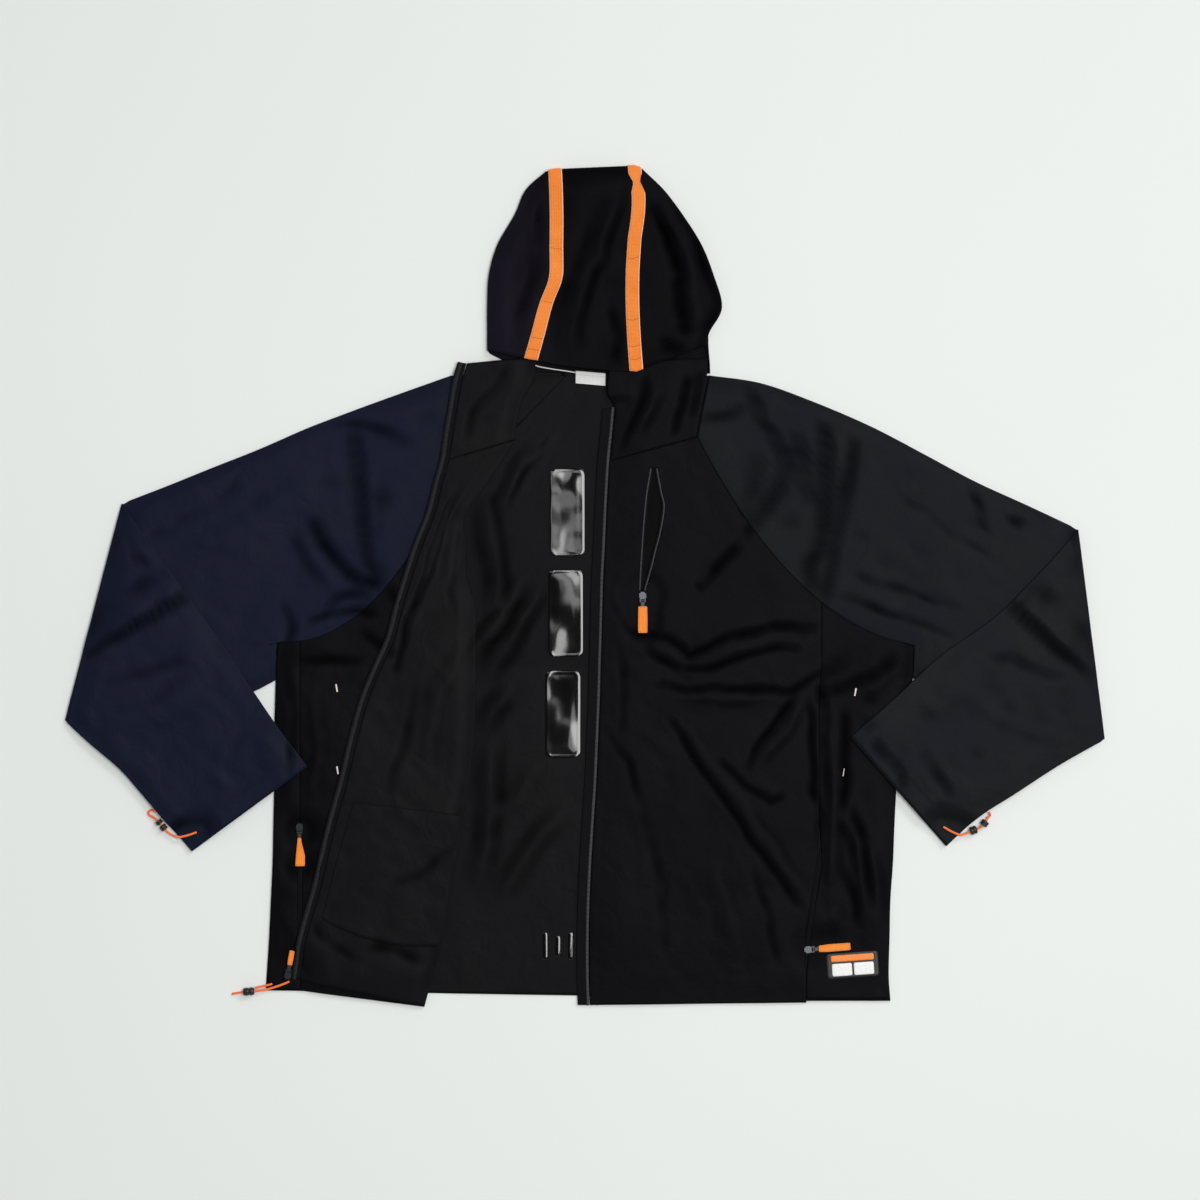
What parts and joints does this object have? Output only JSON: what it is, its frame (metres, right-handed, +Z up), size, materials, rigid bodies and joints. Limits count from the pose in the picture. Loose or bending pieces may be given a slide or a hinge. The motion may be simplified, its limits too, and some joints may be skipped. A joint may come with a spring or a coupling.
{
  "type": "zip-up hooded jacket",
  "caption": "Oversized hooded zip-up jacket laid flat with its right front folded open, raglan sleeves folded in at the elbows, webbing stripes on the hood and webbing zip pulls.",
  "frame": {"origin": "centre of the bounding box in plan, on the surface the jacket lies on", "axes": "+Z up off the surface, +Y from hem to hood, +X towards the wearer's left sleeve"},
  "size_m": [1.2151, 0.9843, 0.0101],
  "materials": {
    "back": "matt woven shell, almost black",
    "chest_link": "satin",
    "chest_pocket_bag": "matt woven shell, almost black",
    "chest_slider": "dark satin",
    "chest_tab": "matt orange webbing",
    "chest_zip_left": "satin",
    "chest_zip_right": "satin",
    "cuff_cap_left": "satin",
    "cuff_cap_right": "satin",
    "cuff_cord_left": "matt orange webbing",
    "cuff_cord_right": "matt orange webbing",
    "cuff_lock_left": "satin",
    "cuff_lock_right": "satin",
    "front_left": "matt woven shell, almost black",
    "front_right": "matt woven shell, almost black",
    "gloss_pill_1": "high gloss",
    "gloss_pill_2": "high gloss",
    "gloss_pill_3": "high gloss",
    "gloss_tile_1": "high gloss",
    "gloss_tile_2": "high gloss",
    "gloss_tile_3": "high gloss",
    "hand_left_link": "satin",
    "hand_left_slider": "dark satin",
    "hand_left_tab": "matt orange webbing",
    "hand_right_link": "satin",
    "hand_right_slider": "dark satin",
    "hand_right_tab": "matt orange webbing",
    "hand_zip_left": "satin",
    "hand_zip_right": "satin",
    "hem_cord": "matt orange webbing",
    "hem_cord_lock": "satin",
    "hem_cord_return": "matt orange webbing",
    "hood_corner_left": "matt woven shell, almost black",
    "hood_corner_right": "matt woven shell, almost black",
    "hood_middle": "matt woven shell, almost black",
    "hood_side_left": "matt woven shell, almost black",
    "hood_side_right": "matt woven shell, almost black",
    "hood_tape_left": "matt orange webbing",
    "hood_tape_right": "matt orange webbing",
    "main_link": "satin",
    "main_slider": "dark satin",
    "main_tab": "matt orange webbing",
    "neck_label": "matt white",
    "neck_tape": "matt white",
    "patch": "satin",
    "patch_bar": "matt orange webbing",
    "patch_tile_1": "matt white",
    "patch_tile_2": "matt white",
    "pocket_bag_right": "matt woven shell, almost black",
    "sleeve_left": "matt woven shell, almost black",
    "sleeve_right": "matt woven shell, almost black",
    "zip_tape_left": "matt woven shell, almost black",
    "zip_tape_right": "matt woven shell, almost black"
  },
  "bodies": {
    "jacket": {"back": "back", "chest_pocket_bag": "chest_pocket_bag", "chest_slider": "chest_slider", "chest_zip_left": "chest_zip_left", "chest_zip_right": "chest_zip_right", "cuff_cap_left": "cuff_cap_left", "cuff_cap_right": "cuff_cap_right", "cuff_cord_left": "cuff_cord_left", "cuff_cord_right": "cuff_cord_right", "cuff_lock_left": "cuff_lock_left", "cuff_lock_right": "cuff_lock_right", "front_left": "front_left", "front_right": "front_right", "gloss_pill_1": "gloss_pill_1", "gloss_pill_2": "gloss_pill_2", "gloss_pill_3": "gloss_pill_3", "gloss_tile_1": "gloss_tile_1", "gloss_tile_2": "gloss_tile_2", "gloss_tile_3": "gloss_tile_3", "hand_left_slider": "hand_left_slider", "hand_right_slider": "hand_right_slider", "hand_zip_left": "hand_zip_left", "hand_zip_right": "hand_zip_right", "hem_cord": "hem_cord", "hem_cord_lock": "hem_cord_lock", "hem_cord_return": "hem_cord_return", "hood_corner_left": "hood_corner_left", "hood_corner_right": "hood_corner_right", "hood_middle": "hood_middle", "hood_side_left": "hood_side_left", "hood_side_right": "hood_side_right", "hood_tape_left": "hood_tape_left", "hood_tape_right": "hood_tape_right", "main_slider": "main_slider", "neck_label": "neck_label", "neck_tape": "neck_tape", "patch": "patch", "patch_bar": "patch_bar", "patch_tile_1": "patch_tile_1", "patch_tile_2": "patch_tile_2", "pocket_bag_right": "pocket_bag_right", "sleeve_left": "sleeve_left", "sleeve_right": "sleeve_right", "zip_tape_left": "zip_tape_left", "zip_tape_right": "zip_tape_right"},
    "chest_pull": {"chest_link": "chest_link", "chest_tab": "chest_tab"},
    "main_pull": {"main_link": "main_link", "main_tab": "main_tab"},
    "hand_right_pull": {"hand_right_link": "hand_right_link", "hand_right_tab": "hand_right_tab"},
    "hand_left_pull": {"hand_left_link": "hand_left_link", "hand_left_tab": "hand_left_tab"}
  },
  "joints": [
    {"name": "chest_pull_hinge", "type": "hinge", "parent": "jacket", "child": "chest_pull", "pos_m": [0.0675, -0.0175, 0.007], "axis": [-1, 0, 0], "range_deg": [0, 120]},
    {"name": "main_pull_hinge", "type": "hinge", "parent": "jacket", "child": "main_pull", "pos_m": [-0.346, -0.449, 0.0066], "axis": [0.9848, -0.1736, 0], "range_deg": [0, 120]},
    {"name": "hand_right_pull_hinge", "type": "hinge", "parent": "jacket", "child": "hand_right_pull", "pos_m": [-0.3335, -0.288, 0.0053], "axis": [-1, 0, 0], "range_deg": [0, 120]},
    {"name": "hand_left_pull_hinge", "type": "hinge", "parent": "jacket", "child": "hand_left_pull", "pos_m": [0.267, -0.4245, 0.0053], "axis": [0.0785, -0.9969, 0], "range_deg": [0, 120]}
  ]
}
